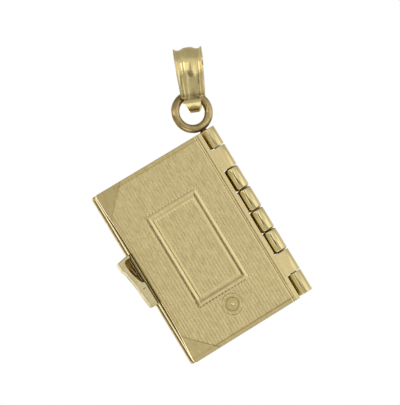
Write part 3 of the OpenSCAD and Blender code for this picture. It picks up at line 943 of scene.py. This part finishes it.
def makeCover(name, side, hollow, body):
    # side -1 is the back cover, which faces the camera, and 1 the front cover
    bm = bmesh.new()
    columns, rows = coverPlaces()
    nx, nz = len(columns) - 1, len(rows) - 1
    bmesh.ops.create_grid(bm, x_segments=nx, y_segments=nz, size=1)
    face = book["coverFace"]
    for v in bm.verts:
        column = round((v.co.x + 1) / 2 * nx)
        row = round((v.co.y + 1) / 2 * nz)
        v.co = (columns[column], -face, rows[row])
    # the diagonals of the corner pieces are cut into the grid, so that the ribs end on them
    for z, up in ((0, 1), (-book["height"], -1)):
        for shift in cover["cornerCuts"]:
            x = book["foreEdge"] + cover["cornerLeg"] + shift * math.sqrt(2)
            cutThrough(bm, (x, -face, z), (1, 0, -up))
    for v in bm.verts:
        v.co.y -= reliefHeight(v.co.x, v.co.z)
        a, b = cornerOffset(v.co.x, v.co.z)
        if a and b:
            pull = max(abs(a), abs(b)) / math.hypot(a, b)
            v.co.x += a * (pull - 1)
            v.co.z += b * (pull - 1)
    # the wall: a rounded outer edge, a straight side, a rounded inner edge and the inner face
    edges = [e for e in bm.edges if e.is_boundary]
    outer, inner = cover["edgeRound"], cover["innerRound"]
    quarter = [math.radians(a) for a in (0, 22.5, 45, 67.5, 90)]
    for a, b in zip(quarter, quarter[1:]):
        edges = growOutline(bm, edges, outer * (math.sin(b) - math.sin(a)),
                            outer * (math.cos(a) - math.cos(b)))
    edges = growOutline(bm, edges, 0, book["coverThickness"] - outer - inner)
    for a, b in zip(quarter, quarter[1:]):
        edges = growOutline(bm, edges, -inner * (math.cos(a) - math.cos(b)),
                            inner * (math.sin(b) - math.sin(a)))
    bmesh.ops.holes_fill(bm, edges=edges, sides=0)
    if hollow:
        for v in bm.verts:
            fade = 1 - share(v.co.x, book["foreEdge"], book["foreEdge"] + cover["hollowReach"])
            v.co.x += hollowDepth(-v.co.z / book["height"]) * fade
    bmesh.ops.recalc_face_normals(bm, faces=bm.faces)
    # the back cover's walls take the lighter edge gold as painted highlight, the front cover's
    # walls the darker copy as painted shade
    used = ("satin", "burnished", "matte", "page", "edge" if side < 0 else "shadedEdge")
    for f in bm.faces:
        x, y, z = f.calc_center_median()
        inFrame = frameDepth(x, z)
        finish = "satin"
        if y > 0.05 - face:
            finish = "page" if f.normal.y > 0.5 else used[-1]
        elif x > ribEnd or frameRelief["groove"][0] < inFrame < frameRelief["clearing"]:
            finish = "burnished"
        elif (x < ribStart or cornerDepth(x, z) < 0
              or max(z, -book["height"] - z) > -cover["border"]
              or math.hypot(x - ornament["x"], z - ornament["z"]) < ornament["reach"]):
            finish = "matte"
        f.material_index = used.index(finish)
    bmesh.ops.scale(bm, vec=(1, -side, 1), verts=bm.verts)
    return finishPiece(name, bm, bookPlace, body, [body],
                       [golds[finish] for finish in used], coverShade)


makeCover("back_cover_plate", -1, True, "back_cover")
makeCover("front_cover_plate", 1, False, "front_cover")
makeOrnament("back_cover_ornament", -1, "back_cover")
makeOrnament("front_cover_ornament", 1, "front_cover")
print("covers modelled")


def makeCoverKnuckles(name, numbers, side, body):
    bm = bmesh.new()
    for number in numbers:
        addCurl(bm, number, side)
        if number == 1:
            addPlug(bm, number)
    return finishPiece(name, bm, bookPlace, body, [body], [golds["burnished"]])


makeCoverKnuckles("back_cover_knuckles", (2, 7), -1, "back_cover")
makeCoverKnuckles("front_cover_knuckles", (1, 8), 1, "front_cover")
print("cover knuckles modelled")


# Pages

page = {"edgeRound": 0.05, "bridgeRoot": -1.3, "bridgeEnd": -0.46, "bridgeInset": 0.012,
        "edgeReach": 0.03, "spineGap": 0.02, "besideSlot": (7.2, 7.45, 10.0, 10.25),
        "slotShade": 0.95, "rimShade": 0.55, "rimFade": (0.02, 0.13)}


def makePage(name, bottom, numbers, body):
    bm = bmesh.new()
    inset = book["pageInset"]
    thickness = book["pageThickness"]
    addBox(bm, Vector((book["foreEdge"] + inset, bottom, -book["height"] + inset)),
           Vector((book["spineEdge"] - page["spineGap"], bottom + thickness, -inset)))
    corners = [e for e in bm.edges if abs(e.verts[0].co.y - e.verts[1].co.y) > thickness / 2
               and e.verts[0].co.x < book["foreEdge"] + 1]
    roundEdges(bm, corners, book["cornerRadius"], 8)
    rims = [e for e in bm.edges if e.calc_face_angle(0) > math.radians(60)
            and abs(e.verts[0].co.y - e.verts[1].co.y) < thickness / 2]
    roundEdges(bm, rims, page["edgeRound"], 4)
    bm.normal_update()
    setMaterial([f for f in bm.faces if abs(f.normal.y) < 0.6], 2)
    for down in page["besideSlot"]:
        cutThrough(bm, (0, 0, -down), (0, 0, 1))
    for number in numbers:
        setMaterial(facesOf(addTube(bm, number)), 1)
        foot, top = knuckleSpan(number)
        tab = page["bridgeInset"]
        addBox(bm, Vector((page["bridgeRoot"], bottom + tab, foot + knuckle["rimRound"])),
               Vector((page["bridgeEnd"], bottom + thickness - tab, top - knuckle["rimRound"])))
    return finishPiece(name, bm, bookPlace, body, [body],
                       [golds["page"], golds["knuckle"], golds["edge"]], pageShade)


makePage("page_1_leaf", book["pageBottoms"][0], (3, 5), "page_1")
makePage("page_2_leaf", book["pageBottoms"][1], (4, 6), "page_2")
print("pages modelled")


# Clasp

clasp = {
    "top": 6.85, "low": -0.4, "high": 0.74, "edgeRound": 0.07, "footLow": 0.47,
    "feet": ((6.0, 3.35), (2.45, 1.3)), "footReach": (0.06, 0.46), "footUnder": 0.02,
    # the plate's outline and its slot: reach beyond the fore-edge and distance below the top
    "outline": ((-0.03, 0.08), (1.12, 0.28), (1.38, 0.4), (1.42, 0.55), (1.36, 1.3), (1.16, 1.62),
                (1.0, 2.8), (0.86, 3.9), (0.84, 4.7), (0.7, 5.8), (0.57, 5.98), (-0.03, 6.0)),
    "slot": ((-0.03, 0.45), (0.5, 0.45), (0.76, 0.6), (0.82, 1.0), (0.76, 1.7), (0.62, 2.3),
             (0.44, 2.85), (0.26, 3.2), (-0.03, 3.34)),
    "backing": (0.56, 0.7), "backingReach": -0.03, "backingDown": 0.3, "backingBelow": 0.1,
    "tongue": ((0.4, 1.5), (0.24, 2.3)), "tongueRadius": 0.07, "tongueY": 0.1,
    "slit": ((0.26, 3.82), (0.54, 3.92)), "slitProud": 0.008, "slitDeep": 0.1, "slitRound": 0.004,
    "partRound": 0.03, "sideShade": 0.4,
}


def addBar(bm, outline, low, high, edgeRound):
    # a flat outline in x and z, drawn out through y, with its edges rounded
    old = set(bm.verts)
    _, edges = chainOfEdges(bm, [(x, low, z) for x, z in outline], closed=True)
    faces = bmesh.ops.contextual_create(bm, geom=edges)["faces"]
    raised = bmesh.ops.extrude_face_region(bm, geom=faces)["geom"]
    bmesh.ops.translate(bm, verts=geomVerts(raised), vec=(0, high - low, 0))
    made = newVerts(bm, old)
    bmesh.ops.recalc_face_normals(bm, faces=list(facesOf(made)))
    sharp = list({e for v in made for e in v.link_edges if e.calc_face_angle(0) > math.radians(30)})
    roundEdges(bm, sharp, edgeRound, 3)
    return newVerts(bm, old)


def makeClasp(sizes):
    bm = bmesh.new()
    x0, z0 = book["foreEdge"], -sizes["top"]
    low, high, edge = sizes["low"], sizes["high"], sizes["edgeRound"]
    outer = [(x0 - reach, z0 - down) for reach, down in sizes["outline"]]
    slot = [(x0 - reach, z0 - down) for reach, down in sizes["slot"]]
    addBar(bm, outer + slot[::-1], low, high, edge)
    # a dark sheet behind the slot as painted shade, a dark bar on the plate as the painted shadow
    # of a slit, and the wire that lies in the slot
    near = x0 - sizes["backingReach"]
    sheet = [(near, z0 - sizes["backingDown"]), outer[1], *outer[4:7],
             (near, slot[-1][1] - sizes["backingBelow"])]
    dark = addBar(bm, sheet, *sizes["backing"], sizes["partRound"])
    (slitNear, slitTop), (slitFar, slitFoot) = sizes["slit"]
    slit = [(x0 - slitNear, z0 - slitTop), (x0 - slitFar, z0 - slitTop),
            (x0 - slitFar, z0 - slitFoot), (x0 - slitNear, z0 - slitFoot)]
    dark += addBar(bm, slit, low - sizes["slitProud"], low + sizes["slitDeep"], sizes["slitRound"])
    setMaterial(facesOf(dark), 1)
    ends = [Vector((x0 - reach, sizes["tongueY"], z0 - down)) for reach, down in sizes["tongue"]]
    along = ends[1] - ends[0]
    radius = sizes["tongueRadius"]
    rod = turnedSolid(bm, [(0, 0), (radius * 0.7, 0.02), (radius, 0.08), (radius, along.length),
                           (0, along.length)], 16)
    turn = along.to_track_quat("Z", "Y").to_matrix().to_4x4()
    bmesh.ops.transform(bm, matrix=Matrix.Translation(ends[0]) @ turn, verts=rod)
    # the solder feet on the front cover's edge, the upper one, behind the slot, in the dark brown
    # of painted shade
    near, far = sizes["footReach"]
    for number, (foot, top) in enumerate(sizes["feet"]):
        outline = [(x0 - far, z0 - foot), (x0 + near, z0 - foot), (x0 + near, z0 - top),
                   (x0 - far, z0 - top)]
        solder = addBar(bm, outline, sizes["footLow"], high - sizes["footUnder"],
                        sizes["partRound"])
        setMaterial(facesOf(solder), number)

    def shadeAt(place):
        # painted shade on the plate's sides and back, which are darker than its front face
        return sizes["sideShade"] * share(place.y, low, low + 2 * edge)

    return finishPiece("clasp_strap", bm, bookPlace, "front_cover",
                       ["front_cover"], [golds["clasp"], golds["shadowBrown"]], shadeAt)


makeClasp(clasp)
print("clasp modelled")


# Studio

studio = {
    "azimuth": -14.7, "elevation": -9.2, "distance": 350 * mm,
    "pxPerMm": 9.635, "frameHeight": 405, "sensor": 36.0,
    "aim": (1.39 * mm, 0.2 * mm, -15.8 * mm), "floor": -160 * mm, "floorSize": 3.0,
    "lensShade": 62 * mm, "lensBehind": 12 * mm, "standRise": 75 * mm,
    "shadeLevel": 0.13, "standLevel": 0.48, "standStretch": (0.55, 1.6),
}
# what the tent looks like from the charm: height as a share from nadir to zenith, and level
tentLevels = ((0.0, 0.5), (0.5, 0.78), (0.68, 0.77), (0.76, 0.66), (0.86, 0.5), (1.0, 0.46))


def directionTo(azimuth, elevation):
    a, e = math.radians(azimuth), math.radians(elevation)
    return Vector((math.sin(a) * math.cos(e), -math.cos(a) * math.cos(e), math.sin(e)))


cameraBack = directionTo(studio["azimuth"], studio["elevation"])


def placeFacing(thing, back, distance):
    # stands in a direction from the middle of the charm and looks at it
    thing.location = Vector(studio["aim"]) + back * distance
    thing.rotation_mode = "QUATERNION"
    thing.rotation_quaternion = (-back).to_track_quat("-Z", "Y")
    bpy.context.scene.collection.objects.link(thing)


def makeCamera():
    data = bpy.data.cameras.new("camera")
    data.sensor_width = studio["sensor"]
    frameTall = studio["frameHeight"] / studio["pxPerMm"] * mm
    data.lens = studio["sensor"] * studio["distance"] / frameTall
    data.clip_start = 0.005
    data.clip_end = 20
    camera = bpy.data.objects.new("camera", data)
    placeFacing(camera, cameraBack, studio["distance"])
    bpy.context.scene.camera = camera


def makeMatt(name, colour):
    matt = bpy.data.materials.new(name)
    matt.use_nodes = True
    shader = matt.node_tree.nodes["Principled BSDF"]
    shader.inputs["Base Color"].default_value = (*colour, 1)
    shader.inputs["Roughness"].default_value = 0.9
    return matt


def makeFloor():
    bm = bmesh.new()
    bmesh.ops.create_circle(bm, segments=96, radius=studio["floorSize"], cap_ends=True,
                            matrix=Matrix.Translation((0, 0, studio["floor"])))
    floor = makeObject("floor", bm, [makeMatt("paleFloor", (0.82, 0.82, 0.81))])


def makeWorld():
    # a pale tent, darker toward its top, with a white backdrop for the camera alone
    world = bpy.data.worlds.new("tent")
    bpy.context.scene.world = world
    world.use_nodes = True
    tree = world.node_tree
    tree.nodes.clear()
    output = addNode(tree, "ShaderNodeOutputWorld")
    coords = addNode(tree, "ShaderNodeTexCoord")
    split = addNode(tree, "ShaderNodeSeparateXYZ")
    lift = addNode(tree, "ShaderNodeMapRange", {"From Min": -1})
    height = addNode(tree, "ShaderNodeValToRGB")
    ramp = height.color_ramp
    ramp.interpolation = "EASE"
    while len(ramp.elements) < len(tentLevels):
        ramp.elements.new(0.5)
    for element, (place, level) in zip(ramp.elements, tentLevels):
        element.position = place
        element.color = (level, level, level, 1)
    tent = addNode(tree, "ShaderNodeBackground")
    white = addNode(tree, "ShaderNodeBackground", {"Color": (1, 1, 1, 1)})
    path = addNode(tree, "ShaderNodeLightPath")
    pick = addNode(tree, "ShaderNodeMixShader")
    wire(tree,
         (coords, "Generated", split, 0), (split, "Z", lift, "Value"), (lift, 0, height, "Fac"),
         (height, "Color", tent, "Color"), (path, "Is Camera Ray", pick, "Fac"),
         (tent, 0, pick, 1), (white, 0, pick, 2), (pick, 0, output, "Surface"))


def makeCloth(name, level):
    return makeMatt(name, (level, level * 0.96, level * 0.9))


def addDarkCard(name, place, cloth, stretch=(1, 1)):
    # a round card that only the metal sees, as the lens and its stand are
    bm = bmesh.new()
    bmesh.ops.create_circle(bm, segments=64, radius=studio["lensShade"], cap_ends=True,
                            matrix=place @ Matrix.Diagonal((*stretch, 1, 1)))
    card = makeObject(name, bm, [cloth])
    card.visible_camera = False
    card.visible_diffuse = False
    card.visible_shadow = False


def addSoftbox(name, azimuth, elevation, distance, size, glow):
    # a lamp of the given brightness, turned to the middle of the charm
    data = bpy.data.lights.new(name, "AREA")
    data.shape = "RECTANGLE"
    data.size, data.size_y = size
    data.energy = glow * math.pi * size[0] * size[1]
    lamp = bpy.data.objects.new(name, data)
    lamp.visible_camera = False
    placeFacing(lamp, directionTo(azimuth, elevation), distance)


makeCamera()
makeFloor()
makeWorld()
lensPlace = Vector(studio["aim"]) + cameraBack * (studio["distance"] + studio["lensBehind"])
standPlace = lensPlace + cameraBack * 0.01 + Vector((0, 0, studio["standRise"]))
facing = (-cameraBack).to_track_quat("-Z", "Y").to_matrix().to_4x4()
addDarkCard("lensShade", Matrix.Translation(lensPlace) @ facing,
            makeCloth("blackCloth", studio["shadeLevel"]))
addDarkCard("lensStand", Matrix.Translation(standPlace) @ facing,
            makeCloth("greyCloth", studio["standLevel"]), studio["standStretch"])
addSoftbox("keySoftbox", -18, 5, 0.39, (0.26, 0.12), 0.5)
addSoftbox("leftKey", -58, 4, 0.36, (0.14, 0.11), 1.2)
addSoftbox("rightKey", 28, 4, 0.36, (0.1, 0.11), 0.5)
addSoftbox("leftStrip", -30, -17, 0.34, (0.075, 0.09), 0.5)
addSoftbox("rearSoftbox", -165, -8, 0.42, (0.3, 0.3), 1.1)
addSoftbox("rightSoftbox", 50, 12, 0.4, (0.16, 0.3), 0.36)
addSoftbox("lowSoftbox", 38, -22, 0.32, (0.14, 0.1), 0.35)
addSoftbox("underSoftbox", -15, -62, 0.15, (0.1, 0.1), 0.7)
scene = bpy.context.scene
scene.view_settings.view_transform = "Standard"
scene.view_settings.look = "None"
print("studio set")
